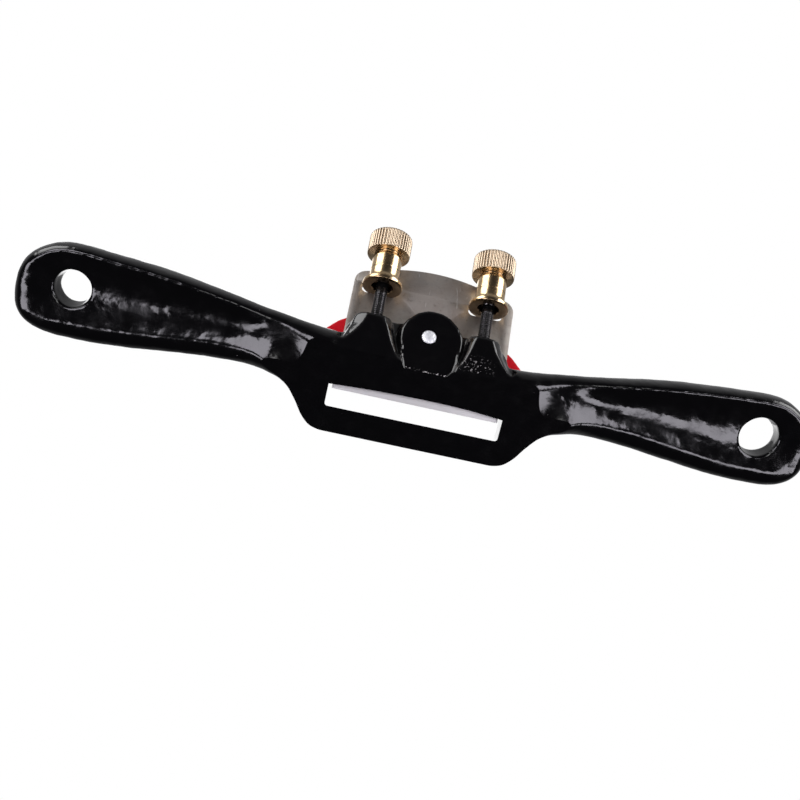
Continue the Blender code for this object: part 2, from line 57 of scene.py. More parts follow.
OFF = Vector((0, -math.sqrt(0.5), math.sqrt(0.5)))
BED = Matrix(((1, 0, 0, 0), (0, UP.y, OFF.y, MOUTH_Y * MM), (0, UP.z, OFF.z, 0), (0, 0, 0, 1)))
SPARE = 0.5                 # metal that a later cut takes off


def middle(node):
    """(x, up, off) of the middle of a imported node's box, which is on the axis of a turned one."""
    low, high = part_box(node)
    x, y, z = (low + high) / 2 / MM
    y -= MOUTH_Y
    return round(x, 1), round((y + z) * UP.y, 1), round((z - y) * UP.y, 1)


STUD_X, _, STUD_OFF = middle("left_adjusting_stud")
CAP_SCREW_UP = middle("lever_cap_screw")[1]
THUMB_UP = middle("thumb_screw")[1]


# ---------------------------------------------------------------- meshes

def new_object(name, verts, faces):
    """A mesh object from points in millimetres."""
    mesh = bpy.data.meshes.new(name)
    mesh.from_pydata([tuple(c * MM for c in v) for v in verts], [], faces)
    mesh.update()
    obj = bpy.data.objects.new(name, mesh)
    bpy.context.scene.collection.objects.link(obj)
    return obj


def fix_normals(obj):
    bm = bmesh.new()
    bm.from_mesh(obj.data)
    bmesh.ops.recalc_face_normals(bm, faces=bm.faces)
    bm.to_mesh(obj.data)
    bm.free()


def apply_modifiers(obj):
    """Replaces the object's mesh by what its modifiers make of it."""
    bpy.context.view_layer.update()
    evaluated = obj.evaluated_get(bpy.context.evaluated_depsgraph_get())
    mesh = bpy.data.meshes.new_from_object(evaluated)
    obj.modifiers.clear()
    obj.data = mesh


def combine(target, tool, operation="DIFFERENCE"):
    """Cuts or joins with a tool, which is used up."""
    modifier = target.modifiers.new("combine", "BOOLEAN")
    modifier.operation = operation
    modifier.object = tool
    modifier.solver = "MANIFOLD"
    apply_modifiers(target)
    bpy.data.objects.remove(tool)


def loft(name, rings, close_ends=True):
    """A closed surface through rings of equally many (x, y, z) points in millimetres."""
    count = len(rings[0])
    verts = [p for ring in rings for p in ring]
    faces = []
    for k in range(len(rings) - 1):
        a, b = k * count, (k + 1) * count
        for i in range(count):
            j = (i + 1) % count
            faces.append((a + i, a + j, b + j, b + i))
    if close_ends:
        faces.append(tuple(reversed(range(count))))
        faces.append(tuple(range(len(verts) - count, len(verts))))
    obj = new_object(name, verts, faces)
    fix_normals(obj)
    return obj


def prism(name, outline_low, low, high, outline_high=None, matrix=None):
    """A prism between two outlines of (x, y) points, at z = low and z = high."""
    top = outline_high or outline_low
    rings = [[(x, y, low) for x, y in outline_low], [(x, y, high) for x, y in top]]
    obj = loft(name, rings)
    if matrix:
        obj.data.transform(matrix)
    return obj


def block(name, low, high, matrix=None):
    (x0, y0, z0), (x1, y1, z1) = low, high
    return prism(name, [(x0, y0), (x1, y0), (x1, y1), (x0, y1)], z0, z1, matrix=matrix)


def circle(centre, radius, count):
    return [(centre[0] + radius * math.cos(2 * math.pi * i / count),
             centre[1] + radius * math.sin(2 * math.pi * i / count)) for i in range(count)]


def arc(centre, radius, start, end, count):
    angles = [math.radians(start + (end - start) * i / (count - 1)) for i in range(count)]
    return [(centre[0] + radius * math.cos(a), centre[1] + radius * math.sin(a)) for a in angles]


def ellipse(centre, radii, count=96):
    return [(centre[0] + radii[0] * x, centre[1] + radii[1] * y) for x, y in circle((0, 0), 1, count)]


def slot_outline(centre, length, height, count):
    """A slot with round ends, long in x."""
    reach = (length - height) / 2
    return (arc((centre[0] + reach, centre[1]), height / 2, -90, 90, count)
            + arc((centre[0] - reach, centre[1]), height / 2, 90, 270, count))


def rounded(outline, radius, steps=5):
    """Rounds the corners of a closed outline."""
    points = []
    for i, p in enumerate(outline):
        a, b = Vector(outline[i - 1]), Vector(outline[(i + 1) % len(outline)])
        p = Vector(p)
        reach = min(radius, (a - p).length * 0.45, (b - p).length * 0.45)
        start, end = p + (a - p).normalized() * reach, p + (b - p).normalized() * reach
        for k in range(steps + 1):
            t = k / steps
            q = start * (1 - t) ** 2 + p * 2 * t * (1 - t) + end * t * t
            points.append((q.x, q.y))
    return points


def mirrored(half):
    """A closed outline from its +x half, which runs up to the axis."""
    return half + [(-x, y) for x, y in reversed(half) if x > 1e-6]


def revolve(name, profile, columns, shape=None):
    """Turns a closed or axis-to-axis (radius, z) profile about Z.

    shape(z, angle, radius) may give another radius.
    """
    rings = []
    for r, z in profile:
        ring = []
        for i in range(columns):
            angle = 2 * math.pi * i / columns
            radius = shape(z, angle, r) if shape else r
            ring.append((radius * math.cos(angle), radius * math.sin(angle), z))
        rings.append(ring)
    closed = profile[0] == profile[-1]
    obj = loft(name, rings, close_ends=not closed)
    if closed:
        bm = bmesh.new()
        bm.from_mesh(obj.data)
        bmesh.ops.remove_doubles(bm, verts=bm.verts, dist=1e-7)
        bmesh.ops.recalc_face_normals(bm, faces=bm.faces)
        bm.to_mesh(obj.data)
        bm.free()
    return obj


def on_bed(obj, x=0.0, up=0.0, off=0.0, along=False):
    """Places a mesh on the bed; a turned piece's Z then leaves the bed, or climbs it."""
    turn = Matrix.Rotation(-math.pi / 2, 4, "X") if along else Matrix.Identity(4)
    obj.data.transform(BED @ Matrix.Translation((x * MM, up * MM, off * MM)) @ turn)
    return obj


def shade(obj, angle):
    """Smooth shading, sharp at edges past the angle in degrees."""
    obj.data.shade_smooth()
    obj.data.set_sharp_from_angle(angle=math.radians(angle))


def bevel(obj, width, angle):
    """Rounds the edges sharper than the angle in degrees."""
    modifier = obj.modifiers.new("bevel", "BEVEL")
    modifier.width = width * MM
    modifier.segments = 2
    modifier.limit_method = "ANGLE"
    modifier.angle_limit = math.radians(angle)
    apply_modifiers(obj)


def remesh(obj, size):
    modifier = obj.modifiers.new("remesh", "REMESH")
    modifier.mode = "VOXEL"
    modifier.voxel_size = size * MM
    modifier.adaptivity = 0
    apply_modifiers(obj)


def coordinates(obj):
    points = np.empty(len(obj.data.vertices) * 3)
    obj.data.vertices.foreach_get("co", points)
    return points.reshape(-1, 3)


def set_coordinates(obj, points):
    obj.data.vertices.foreach_set("co", points.astype(np.float32).ravel())
    obj.data.update()


RELAX_STEP = 0.6            # part of the way to the mean that a full weight moves a vertex


def relax(obj, rounds, weight):
    """Moves each vertex towards its neighbours' mean a number of times, by a weight from 0 to 1.

    weight(points) gives it for points in millimetres.
    """
    count = len(obj.data.vertices)
    edges = np.empty(len(obj.data.edges) * 2, dtype=np.int64)
    obj.data.edges.foreach_get("vertices", edges)
    a, b = edges[0::2], edges[1::2]
    degree = np.bincount(a, minlength=count) + np.bincount(b, minlength=count)
    points = coordinates(obj)
    share = np.clip(weight(points / MM), 0, 1)[:, None] * RELAX_STEP
    for _ in range(rounds):
        mean = np.empty_like(points)
        for k in range(3):
            mean[:, k] = (np.bincount(a, weights=points[b, k], minlength=count)
                          + np.bincount(b, weights=points[a, k], minlength=count)) / degree
        points += (mean - points) * share
    set_coordinates(obj, points)


def ramp(value, low, high):
    """0 up to low, 1 from high, and smooth between them."""
    t = np.clip((value - low) / (high - low), 0, 1)
    return t * t * (3 - 2 * t)


def band(value, rise, fall):
    """0, then 1, then 0 again, over two (low, high) ramps."""
    return ramp(value, *rise) * (1 - ramp(value, *fall))


def on_bed_axes(points):
    """How far up the bed and off it points in millimetres are."""
    y, z = points[:, 1] - MOUTH_Y, points[:, 2]
    return (y + z) * UP.y, (z - y) * UP.y


def paint(obj, name, values):
    """Gives each vertex a value that a material reads by name."""
    obj.data.attributes.new(name, "FLOAT", "POINT").data.foreach_set("value", values)


# ---------------------------------------------------------------- casting

# Lines along a handle, as (x, value) pairs: its toe and heel edges, and the ridges and insets of both faces
HALF_LENGTH = round(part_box("body")[1].x / MM, 1)
TOE_LINE = [(0, -16.0), (26.5, -16.0), (30.0, -15.3), (33.4, -12.5), (36.4, -8.0), (39.8, -4.2),
            (44, -2.2), (50, -1.35), (54, -1.4), (62, -2.05), (70, -2.9), (80, -4.3), (90, -5.7),
            (100, -6.7), (107, -6.95), (113, -6.95), (116, -6.65), (119, -6.05), (121, -5.35),
            (123, -4.2), (125, -2.4), (126, -1.0), (126.6, 0.2), (127, 2.0)]
HEEL_LINE = [(0, 15.0), (28, 15.2), (36, 15.8), (44, 16.5), (50, 17.1), (54, 17.7), (62, 18.85), (70, 20.0),
             (80, 21.2), (90, 21.95), (100, 22.6), (107, 22.95), (112, 22.8), (116, 21.9), (119, 20.4),
             (121, 19.1), (123, 17.4), (125, 14.8), (126, 12.6), (126.6, 10.6), (127, 8.2)]
SOLE_TOE_RIDGE = [(0, -1.0), (45, -0.9), (48.5, 0.0), (52, 1.4), (56, 2.6), (62, 3.5), (75, 4.8), (90, 6.1),
                  (106, 7.1), (127, 8.2)]
SOLE_HEEL_RIDGE = [(0, -1.0), (33, -0.9), (36, 0.0), (41, 1.6), (46, 3.0), (50, 3.5), (60, 4.0), (75, 4.9),
                   (90, 6.1), (106, 7.1), (127, 8.2)]
HEEL_INSET = [(0, 3.8), (36, 4.6), (42, 3.4), (50, 2.3), (62, 1.8), (110, 1.8), (120, 2.4), (127, 3.8)]
TOE_INSET = [(0, 1.6), (36, 1.6), (44, 3.6), (52, 5.4), (66, 6.0), (110, 5.8), (120, 5.0), (127, 3.8)]
TOE_TOP = [(0, 6.6), (31, 6.6), (38, 8.2), (50, 10.3), (60, 11.5)]
HEEL_TOP = [(0, 10.0), (36, 10.0), (50, 10.6), (60, 11.5)]
DISH_GROWTH = [(0, 0.0), (41, 0.0), (47, 0.3), (56, 0.85), (75, 1.0), (113, 1.0), (121, 0.25), (127, -0.2)]
THICKNESS = 8.4
SOLE_DISH, TOP_DISH = 1.8, 1.1
FLANK_SHARE = 0.42          # a flank takes at most this share of the handle's width
TIP_ROUNDING = 5.2
TIP_FLAT = 0.3              # share of the thickness left at the very tip


def smooth_line(points, x):
    """Value at x of the smooth curve through (x, value) pairs, which never overshoots them."""
    slopes = [(b[1] - a[1]) / (b[0] - a[0]) for a, b in zip(points, points[1:])]
    tangents = [slopes[0]] + [
        2 * s * t / (s + t) if s * t > 0 else 0.0 for s, t in zip(slopes, slopes[1:])
    ] + [slopes[-1]]
    if x <= points[0][0]:
        return points[0][1]
    for i, (a, b) in enumerate(zip(points, points[1:])):
        if x <= b[0]:
            h = b[0] - a[0]
            t = (x - a[0]) / h
            return ((1 + 2 * t) * (1 - t) ** 2 * a[1] + t * (1 - t) ** 2 * h * tangents[i]
                    + t * t * (3 - 2 * t) * b[1] + t * t * (t - 1) * h * tangents[i + 1])
    return points[-1][1]


def casting_section(x):
    """Cross-section of the casting at x, as (y, z) points that run round it once."""
    toe, heel = smooth_line(TOE_LINE, x), smooth_line(HEEL_LINE, x)
    sole_toe, sole_heel = smooth_line(SOLE_TOE_RIDGE, x), smooth_line(SOLE_HEEL_RIDGE, x)
    top_toe, top_heel = smooth_line(TOE_TOP, x), smooth_line(HEEL_TOP, x)
    if x > TOE_TOP[-1][0]:
        top_toe = top_heel = sole_toe + THICKNESS
    squeeze = max(TIP_FLAT, math.sqrt(1 - max(0, 1 - (HALF_LENGTH - x) / TIP_ROUNDING) ** 2))
    widest = (heel - toe) * FLANK_SHARE
    heel_inset, toe_inset = (min(smooth_line(line, x), widest) for line in (HEEL_INSET, TOE_INSET))
    growth = smooth_line(DISH_GROWTH, x)
    middle_toe, middle_heel = (sole_toe + top_toe) / 2, (sole_heel + top_heel) / 2

    def level(z, middle):
        return middle + (z - middle) * squeeze

    def flank(edge, ridge, middle, z, count=12):
        angles = [math.pi / 2 * i / count for i in range(count)]
        return [(ridge + (edge - ridge) * math.cos(a), middle + (level(z, middle) - middle) * math.sin(a))
                for a in angles]

    def face(y0, z0, y1, z1, depth, count=28):
        points = []
        for i in range(count + 1):
            t = i / count
            hollow = math.sin(math.pi * t) * depth * growth * squeeze
            points.append((y0 + (y1 - y0) * t, z0 + (z1 - z0) * t + hollow))
        return points

    low_toe, low_heel = toe + toe_inset, heel - heel_inset
    points = flank(toe, low_toe, middle_toe, sole_toe)
    points += face(low_toe, level(sole_toe, middle_toe), low_heel, level(sole_heel, middle_heel), SOLE_DISH)
    points += list(reversed(flank(heel, low_heel, middle_heel, sole_heel)))
    points += flank(heel, low_heel, middle_heel, top_heel)[1:]
    points += face(low_heel, level(top_heel, middle_heel), low_toe, level(top_toe, middle_toe), -TOP_DISH)
    points += list(reversed(flank(toe, low_toe, middle_toe, top_toe)[1:]))
    return [(y + MOUTH_Y, z) for y, z in points]


def casting_blank():
    """Both handles and the bar between them, before the heel side and the mouth are made."""
    half = [*range(120)] + [120 + i * 0.5 for i in range(12)] + [126.0, 126.3, 126.6, 126.8, HALF_LENGTH]
    stations = [-x for x in reversed(half[1:])] + half
    obj = loft("body_casting", [[(x, y, z) for y, z in casting_section(abs(x))] for x in stations])
    obj.modifiers.new("triangles", "TRIANGULATE")
    apply_modifiers(obj)
    return obj


# The heel side, in bed coordinates
BED_LENGTH = 24.9
PLATE_HALF, PLATE_TOP_HALF, PLATE_CORNER = 26.8, 25.9, 9.0
HEEL_FACE = -8.6
HEEL_FACE_HALF = 27         # the heel face is flat as far as this and falls back from there
HEEL_FACE_END = (40, -12.8)
LUG_TOP = 22.3
LUG_TOP_SPARE = 0.25        # how far above the bed's end the cut over the lugs starts
LUG_REACH = (9.0, 31.0)
BEHIND = -14                # off the bed, well behind the lugs

# Boss of the lever cap's screw
BOSS_FACE = -6.8
BOSS_CENTRE, BOSS_FACE_RADII = (-0.9, 18.7), (9.35, 10.3)
BOSS_BASE_CENTRE, BOSS_BASE_RADII = (-0.2, 18.4), (10.6, 10.4)
BOSS_SIDES = {1: [(7.9, 15.0), (7.5, 11.6), (6.7, 8.4)], -1: [(9.6, 15.0), (9.5, 11.6), (9.1, 9.0)]}
BOSS_RIM_FROM = (3.5, 16.5) # (x, up) past which a hollow follows the rim of the boss's face
BOSS_FACE_TOP, BOSS_FACE_FOOT = [(11.0, 30.0), (11.0, 19.0)], [(5.6, 4.0)]
BOSS_MARGIN = 0.07          # how far past the boss's sides its face is cut
SCREW_HOLE_RADIUS = 2.5

# Hollows beside the boss and outside the lugs: (x, up) points of their outlines, (up, x) of the spines that
# their walls lean towards, and (up, off) of their floors
INNER_FLANK = {1: [(6.3, 7.6), (9.6, 10.8), (11.6, 14.6), (13.2, 18.4), (15.3, 23.2)],
               -1: [(9.0, 8.6), (10.3, 10.7), (11.9, 13.6), (13.1, 17.0), (15.0, 23.2)]}
INNER_TOP = [(15.6, 30.0), (6.0, 30.0)]
INNER_SPINE = {1: [(7.6, 6.6), (10, 8.2), (13, 9.4), (17, 10.4), (23, 11.2)],
               -1: [(8.6, 9.1), (11, 10.1), (14, 10.9), (17, 11.6), (23, 12.0)]}
INNER_FLOOR = [(7.6, -7.9), (10, -6.6), (14, -4.8), (23, -2.4)]
OUTER_FLANK = {1: [(19.4, 24.5), (20.0, 22.0), (20.9, 18.6), (22.9, 15.2), (26.0, 11.8)],
               -1: [(19.0, 24.5), (19.5, 22.0), (20.9, 18.4), (23.6, 14.0), (26.6, 11.2)]}
OUTER_WALL = {1: [(27.3, 12.8), (27.8, 16.0), (28.2, 20.0), (29.0, 34.0), (19.2, 34.0)],
              -1: [(27.6, 12.2), (28.2, 16.0), (28.6, 20.0), (29.0, 34.0), (18.8, 34.0)]}
OUTER_SPINE = [(11.5, 26.6), (15, 25.8), (19, 24.8), (24.5, 24.0)]
OUTER_FLOOR = [(10, -8.2), (15, -5.6), (22, -2.8)]
FLANK_SLOPES = {-1: 1.15, 1: 2.0}   # sideways per depth, for flanks that face -X and +X
WALL_SLOPE = 0.2
SPINE_SHARE = 0.85          # a wall leans at most this share of its distance to the spine
POCKET_BEND = 0.4           # share of the depth at which a pocket's middle ring lies

# Mouth, with y from its heel edge
MOUTH_HALF, MOUTH_WIDTH = 27.2, 7.1
BOW_DEPTH, BOW_PEAK_X = 1.15, -6.0
TOE_BAR_HEIGHT = 5.8
THROAT_LEAN = 2.2
THROAT_REACH = 30
BELOW_SOLE = 4              # how far under the sole the throat's cut starts

# Hanging holes: x, y from the mouth, radii below and above, lean along x and y
HANG_HOLES = ((109.1, 9.5, 6.3, 4.6, -0.8, 0.0), (-109.2, 9.4, 6.7, 5.7, 0.0, -0.8))
HANG_HOLE_LOW, HANG_HOLE_HIGH = 5.5, 18.5

BODY_VOXEL = 0.36
BODY_ROUNDS = 11
# Layers of noise: scale, shift and height
UNEVENNESS = ((0.11, (0, 0, 0), 0.12), (0.33, (7, 3, 5), 0.06), (0.8, (0, 0, 0), 0.02))


def cone(name, start, end, radii, count=72):
    """A cone between two points, with its radius at each."""
    start, end = Vector(start), Vector(end)
    turn = (end - start).to_track_quat("Z", "Y").to_matrix()
    rings = []
    for centre, radius in ((start, radii[0]), (end, radii[1])):
        rings.append([tuple(centre + turn @ Vector((x, y, 0))) for x, y in circle((0, 0), radius, count)])
    return loft(name, rings)


def heel_plate():
    """The slab on the heel side that the bed, the lugs and their hollows are cut from."""
    corner = arc((PLATE_TOP_HALF - PLATE_CORNER, BED_LENGTH - PLATE_CORNER), PLATE_CORNER, 0, 90, 24)
    outline = mirrored([(PLATE_HALF, -3.0), (PLATE_HALF, 8.0), (PLATE_TOP_HALF, 11.0)] + corner)
    return prism("plate", outline, HEEL_FACE - SPARE, SPARE, matrix=BED)


def boss():
    face, base = ellipse(BOSS_CENTRE, BOSS_FACE_RADII), ellipse(BOSS_BASE_CENTRE, BOSS_BASE_RADII)
    return prism("boss", face, BOSS_FACE - SPARE, 2 * SPARE, base, BED)


def throat():
    """Cutter for the space over the bed and down through the mouth."""
    profile = [(-MOUTH_WIDTH, -BELOW_SOLE), (-BELOW_SOLE, -BELOW_SOLE), (THROAT_REACH, THROAT_REACH),
               (-THROAT_REACH, THROAT_REACH), (-THROAT_REACH, TOE_BAR_HEIGHT),
               (-MOUTH_WIDTH - THROAT_LEAN, TOE_BAR_HEIGHT), (-MOUTH_WIDTH, 0)]
    return loft("throat", [[(x, y + MOUTH_Y, z) for y, z in profile] for x in (-MOUTH_HALF, MOUTH_HALF)])


def lug_top(side):
    """Cutter that slopes a lug's top down to its outer face."""
    slope = math.atan2(BED_LENGTH - LUG_TOP, -HEEL_FACE)
    lift = Matrix.Translation((0, (BED_LENGTH + LUG_TOP_SPARE) * MM, 0))
    x0, x1 = sorted(side * x for x in LUG_REACH)
    return block("lug_top", (x0, 0, BEHIND), (x1, 12, 1), BED @ lift @ Matrix.Rotation(-slope, 4, "X"))


def pocket(name, side, flank, rest, spine, floor, slope):
    """Cutter for a hollow of the heel face, deeper up the bed.

    The outline's points on the lug's flank lean by slope towards the spine, and the rest by WALL_SLOPE.
    """
    rings = [[], [], [], []]
    for x, up, lean in [(*p, slope) for p in flank] + [(*p, WALL_SLOPE) for p in rest]:
        bottom = smooth_line(floor, min(up, floor[-1][0]))
        bend = HEEL_FACE * (1 - POCKET_BEND) + bottom * POCKET_BEND
        towards = smooth_line(spine, min(up, spine[-1][0])) - x
        for ring, off in zip(rings, (BEHIND, HEEL_FACE, bend, bottom)):
            reach = min(abs(towards) * SPINE_SHARE, max(0, off - HEEL_FACE) * lean)
            ring.append((side * (x + math.copysign(reach, towards)), up, off))
    cutter = loft(name, rings)
    cutter.data.transform(BED)
    return cutter


def inner_hollow(side):
    """Cutter between a lug and the boss, round the boss's rim."""
    face = ellipse(BOSS_CENTRE, BOSS_FACE_RADII)
    rim = [(side * x, up) for x, up in face if side * x > BOSS_RIM_FROM[0] and up > BOSS_RIM_FROM[1]]
    rim.sort(key=lambda p: -p[1])
    rest = INNER_TOP + rim + BOSS_SIDES[side]
    return pocket("inner_hollow", side, INNER_FLANK[side], rest, INNER_SPINE[side], INNER_FLOOR,
                  FLANK_SLOPES[-side])


def outer_hollow(side):
    """Cutter between a lug and the handle."""
    return pocket("outer_hollow", side, OUTER_FLANK[side], OUTER_WALL[side], OUTER_SPINE, OUTER_FLOOR,
                  FLANK_SLOPES[side])


def hang_hole(x, y, low, high, lean_x, lean_y):
    start = (x - lean_x / 2, y + MOUTH_Y - lean_y / 2, HANG_HOLE_LOW)
    end = (x + lean_x, y + MOUTH_Y + lean_y, HANG_HOLE_HIGH)
    return cone("hang_hole", start, end, (low, high))


def boss_face():
    """Cutter that sets the boss's face back from the lugs'."""
    halves = {}
    for side in (1, -1):
        half = BOSS_FACE_TOP + BOSS_SIDES[side] + BOSS_FACE_FOOT
        halves[side] = [(side * (x + BOSS_MARGIN), up) for x, up in half]
    return prism("boss_face", halves[1] + halves[-1][::-1], -20, BOSS_FACE, matrix=BED)


def heel_face():
    """Cutter for the heel face, flat across the lugs and falling back where the handles start."""
    end_x, end_off = HEEL_FACE_END
    faces = ((-end_x, end_off), (-HEEL_FACE_HALF, HEEL_FACE), (HEEL_FACE_HALF, HEEL_FACE), (end_x, end_off))
    rings = [[(x, -4, -30), (x, 45, -30), (x, 45, off), (x, -4, off)] for x, off in faces]
    cutter = loft("heel_face", rings)
    cutter.data.transform(BED)
    return cutter


def mouth_bow(x):
    """How far the mouth's heel edge is filed back at x."""
    reach = MOUTH_HALF + (BOW_PEAK_X if x < BOW_PEAK_X else -BOW_PEAK_X)
    return BOW_DEPTH * (1 - ((x - BOW_PEAK_X) / reach) ** 2)


def mouth():
    xs = [MOUTH_HALF * (i / 24 - 1) for i in range(49)]
    heel = [(x, MOUTH_Y + mouth_bow(x)) for x in reversed(xs)]
    toe = [(x, MOUTH_Y - 3.0) for x in xs]
    return prism("mouth", heel + toe, -2, 3)


def softness(points):
    """How much the casting is rounded: most on the heel side, least on the sole and the bed."""
    x = np.abs(points[:, 0])
    up, off = on_bed_axes(points)
    heel_side = ramp(up, 3.5, 7.0) * ramp(-off, 0.6, 1.6) * (1 - ramp(x, 34, 40))
    return 0.15 + 0.85 * np.maximum(heel_side, ramp(x, 38, 46) * 0.7)


def make_uneven(body):
    """Casting and paint leave the handles and hollows slightly uneven; the sole and bed stay flat."""
    points = coordinates(body)
    normals = np.empty(len(points) * 3)
    body.data.vertices.foreach_get("normal", normals)
    mm = points / MM
    x, z = np.abs(mm[:, 0]), mm[:, 2]
    off = on_bed_axes(mm)[1]
    rough = np.clip(ramp(x, 40, 50) + ramp(-off, 0.8, 2.0) * ramp(z, 0.4, 2.5), 0, 1)
    height = np.zeros(len(mm))
    for k in np.nonzero(rough > 0.01)[0]:
        p = Vector(mm[k])
        height[k] = sum(noise.noise(p * scale + Vector(shift)) * size for scale, shift, size in UNEVENNESS)
    set_coordinates(body, points + normals.reshape(-1, 3) * (height * rough * MM)[:, None])


def bare_specks_and_glints(body):
    """Pale specks: worn paint and painted glints along the boss's foot at the sole, painted glints on the
    right lug's face.
    """
    points = coordinates(body) / MM
    x, z = points[:, 0], points[:, 2]
    up, off = on_bed_axes(points)
    boss_foot = band(z, (0.02, 0.2), (0.35, 0.75)) * ramp(off, -7.5, -7.1)
    boss_foot *= 1 - ramp(np.abs(x + 0.5), 6.5, 8.5)
    # Painted highlight: glints on the right lug's face that stand for light caught by the bumpy casting
    lug = band(-x, (9.5, 12), (18, 22)) * band(up, (6.5, 8), (13, 16))
    lug *= (1 - ramp(off, -7.8, -7.0)) * ramp(z, 0.4, 1.0) * 0.5
    return np.maximum(boss_foot, lug)


def make_body():
    body = casting_blank()
    combine(body, heel_plate(), "UNION")
    combine(body, boss(), "UNION")
    combine(body, throat())
    for side in (-1, 1):
        combine(body, lug_top(side))
        combine(body, inner_hollow(side))
        combine(body, outer_hollow(side))
    for hole in HANG_HOLES:
        combine(body, hang_hole(*hole))
    combine(body, boss_face())
    combine(body, heel_face())
    remesh(body, BODY_VOXEL)
    relax(body, BODY_ROUNDS, softness)
    make_uneven(body)
    combine(body, mouth())
    combine(body, prism("screw_hole", circle((0, CAP_SCREW_UP), SCREW_HOLE_RADIUS, 48), -9, 3, matrix=BED))
    combine(body, block("ground", (-140, -40, -20), (140, 40, 0)))
    shade(body, 50)
    # Where pale specks go: worn paint, and painted glints that stand for light on the bumpy casting
    paint(body, "specks_and_glints", bare_specks_and_glints(body))
    for face in body.data.polygons:
        if face.normal.z < -0.9999 and face.center.z < 0.01 * MM:
            face.use_smooth = False
    return body


# ---------------------------------------------------------------- camera, light, floor

CAMERA_PLACE = (0.027165, 0.106857, -0.331644)
CAMERA_RIGHT = (-0.975884, 0.218130, 0.008357)
CAMERA_UP = (0.208136, 0.918266, 0.336849)
CAMERA_BACK = (0.065803, 0.330465, -0.941522)
LAVENDER = (0.94, 0.91, 1.0)
WHITE = (1.0, 1.0, 1.0)
# Name, direction that the light comes from, distance, size, power and colour. The first two are narrow and
# give the streaks along the handles; the next two light the facets where the handles leave the sole
SOFTBOXES = (
    ("left", (0.655, -0.20, -0.71), 0.9, (0.20, 0.54), 2.2, LAVENDER),
    ("right", (-0.65, -0.16, -0.73), 0.9, (0.20, 0.50), 2.1, LAVENDER),
    ("left_root", (0.58, 0.42, -0.68), 0.9, (0.40, 0.36), 3.0, LAVENDER),
    ("right_root", (-0.70, 0.38, -0.60), 0.9, (0.40, 0.36), 3.0, LAVENDER),
    ("front", (-0.05, 0.42, -0.90), 1.0, (0.45, 0.3), 1.6, WHITE),
    ("left_heel", (0.71, 0.66, 0.12), 0.9, (0.56, 0.66), 5.2, WHITE),
    ("right_heel", (-0.75, 0.62, 0.08), 0.9, (0.50, 0.62), 4.8, WHITE),
    ("above", (0.2, -0.4, 1.0), 1.2, (1.0, 1.0), 5.0, WHITE),
)
FLOOR_HALF = 3000
FLOOR_FADE = (0.30, 0.75)   # distances from the tool between which the floor fades out


def make_camera():
    data = bpy.data.cameras.new("camera")
    data.sensor_width = 36.0
    data.lens = 51.75
    data.shift_y = 0.01625
    data.clip_start = 0.01
    data.clip_end = 20.0
    cam = bpy.data.objects.new("camera", data)
    bpy.context.scene.collection.objects.link(cam)
    turn = Matrix((CAMERA_RIGHT, CAMERA_UP, CAMERA_BACK)).transposed()
    cam.matrix_world = Matrix.Translation(CAMERA_PLACE) @ turn.to_4x4()
    bpy.context.scene.camera = cam


def softbox(name, direction, distance, size, power, colour):
    """An area light that faces the tool from a direction."""
    data = bpy.data.lights.new(name, "AREA")
    data.shape = "RECTANGLE"
    data.size, data.size_y = size
    data.energy = power
    data.color = colour
    light = bpy.data.objects.new(name, data)
    bpy.context.scene.collection.objects.link(light)
    way = Vector(direction).normalized()
    light.location = way * distance
    light.rotation_euler = way.to_track_quat("Z", "Y").to_euler()
    light.visible_camera = False


def make_world():
    """White behind the tool; dim from below and brighter from above as light."""
    bpy.context.scene.view_settings.view_transform = "Standard"
    world = bpy.data.worlds.new("studio")
    bpy.context.scene.world = world
    world.use_nodes = True
    tree = world.node_tree
    tree.nodes.clear()
    out = tree.nodes.new("ShaderNodeOutputWorld")
    seen = tree.nodes.new("ShaderNodeBackground")
    seen.inputs["Color"].default_value = (1, 1, 1, 1)
    lit = tree.nodes.new("ShaderNodeBackground")
    coords = tree.nodes.new("ShaderNodeTexCoord")
    split = tree.nodes.new("ShaderNodeSeparateXYZ")
    steps = tree.nodes.new("ShaderNodeValToRGB")
    steps.color_ramp.elements[0].position = 0.42
    steps.color_ramp.elements[0].color = (0.02, 0.02, 0.022, 1)
    steps.color_ramp.elements[1].position = 0.90
    steps.color_ramp.elements[1].color = (0.45, 0.45, 0.46, 1)
    shift = tree.nodes.new("ShaderNodeMapRange")
    shift.inputs["From Min"].default_value = -1
    shift.inputs["From Max"].default_value = 1
    tree.links.new(coords.outputs["Generated"], split.inputs[0])
    tree.links.new(split.outputs["Z"], shift.inputs["Value"])
    tree.links.new(shift.outputs["Result"], steps.inputs["Fac"])
    tree.links.new(steps.outputs["Color"], lit.inputs["Color"])
    path = tree.nodes.new("ShaderNodeLightPath")
    mix = tree.nodes.new("ShaderNodeMixShader")
    tree.links.new(path.outputs["Is Camera Ray"], mix.inputs["Fac"])
    tree.links.new(lit.outputs[0], mix.inputs[1])
    tree.links.new(seen.outputs[0], mix.inputs[2])
    tree.links.new(mix.outputs[0], out.inputs["Surface"])


